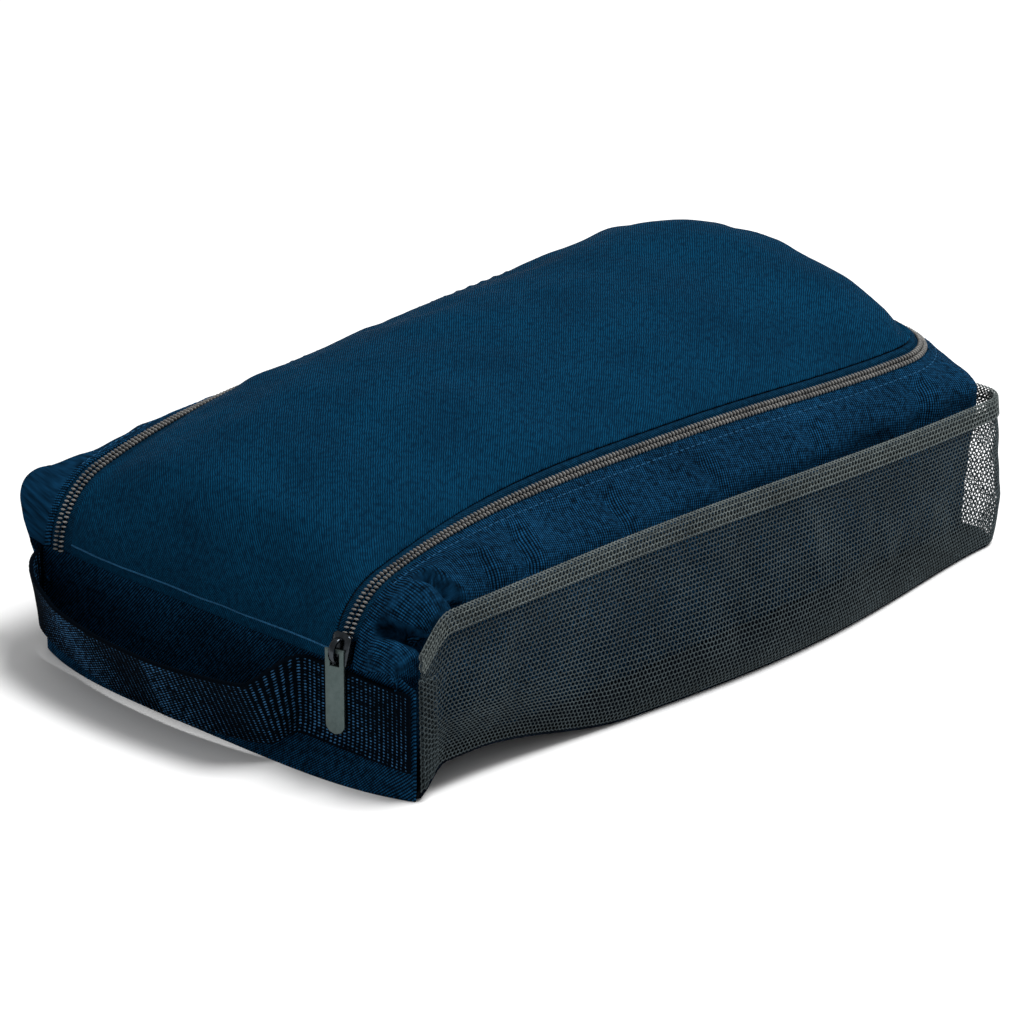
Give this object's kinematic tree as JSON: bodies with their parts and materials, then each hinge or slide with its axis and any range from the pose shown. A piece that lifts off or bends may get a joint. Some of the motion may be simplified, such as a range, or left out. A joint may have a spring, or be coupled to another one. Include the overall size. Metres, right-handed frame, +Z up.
{
  "type": "golf shoe bag",
  "caption": "Soft zipped golf shoe bag with a crowned hinged lid, curved coil zip with slider and pull tab, webbing carry loop and open-topped mesh side pockets.",
  "frame": {"origin": "centre of the base panel's underside, on the surface the bag stands on", "axes": "+X from the handle end towards the far end, -Y towards the pocket beside the zip slider, +Z up"},
  "size_m": [0.4075, 0.2549, 0.1228],
  "materials": {
    "lid_twill": "matt polyester twill, dark teal navy",
    "body_twill": "matt polyester twill, navy",
    "base_cloth": "matt coated cloth, near-black navy",
    "seam_trim": "bound seam edge, black",
    "webbing": "ribbed woven webbing, navy",
    "zip_tape": "woven zip tape, near-black navy",
    "zip_coil": "moulded coil, grey-tan",
    "slider_metal": "gunmetal plated die casting",
    "pull_tab_metal": "satin grey-green plated tab",
    "pocket_mesh": "hexagonal polyester net, grey",
    "pocket_hem": "folded double layer of the same net"
  },
  "bodies": {
    "bag": {"gusset_right": "body_twill", "gusset_left": "body_twill", "far_end_panel": "body_twill", "front_panel": "body_twill", "base_panel": "base_cloth", "base_seam_right": "seam_trim", "base_seam_left": "seam_trim", "handle_patch_right": "webbing", "handle_root_left": "webbing", "zip_tape_body": "zip_tape", "zip_end_right": "zip_tape", "zip_end_left": "zip_tape", "zip_coil_body": "zip_coil", "mesh_pocket_right": "pocket_mesh", "mesh_pocket_left": "pocket_mesh", "pocket_hem_right": "pocket_hem", "pocket_hem_left": "pocket_hem", "pocket_edge_right": "pocket_hem", "pocket_edge_left": "pocket_hem"},
    "lid": {"lid_panel": "lid_twill", "zip_tape_lid": "zip_tape", "zip_coil_lid": "zip_coil"},
    "slider": {"zip_slider": "slider_metal"},
    "pull_tab": {"zip_pull_tab": "pull_tab_metal"},
    "handle": {"handle_loop": "webbing"}
  },
  "joints": [
    {"name": "lid_hinge", "type": "hinge", "parent": "bag", "child": "lid", "pos_m": [-0.184, 0, 0.0474], "axis": [0, -1, 0], "range_deg": [0, 85]},
    {"name": "slider_travel", "type": "hinge", "parent": "bag", "child": "slider", "pos_m": [-0.151, -0.07, 0.047], "axis": [0, 1, 0], "range_deg": [0, 50]},
    {"name": "pull_tab_swing", "type": "hinge", "parent": "slider", "child": "pull_tab", "pos_m": [-0.18945, -0.07, 0.05552], "axis": [0, 1, 0], "range_deg": [0, 160]},
    {"name": "handle_swing", "type": "hinge", "parent": "bag", "child": "handle", "pos_m": [-0.1854, 0, 0.0295], "axis": [0, 1, 0], "range_deg": [0, 18]}
  ]
}
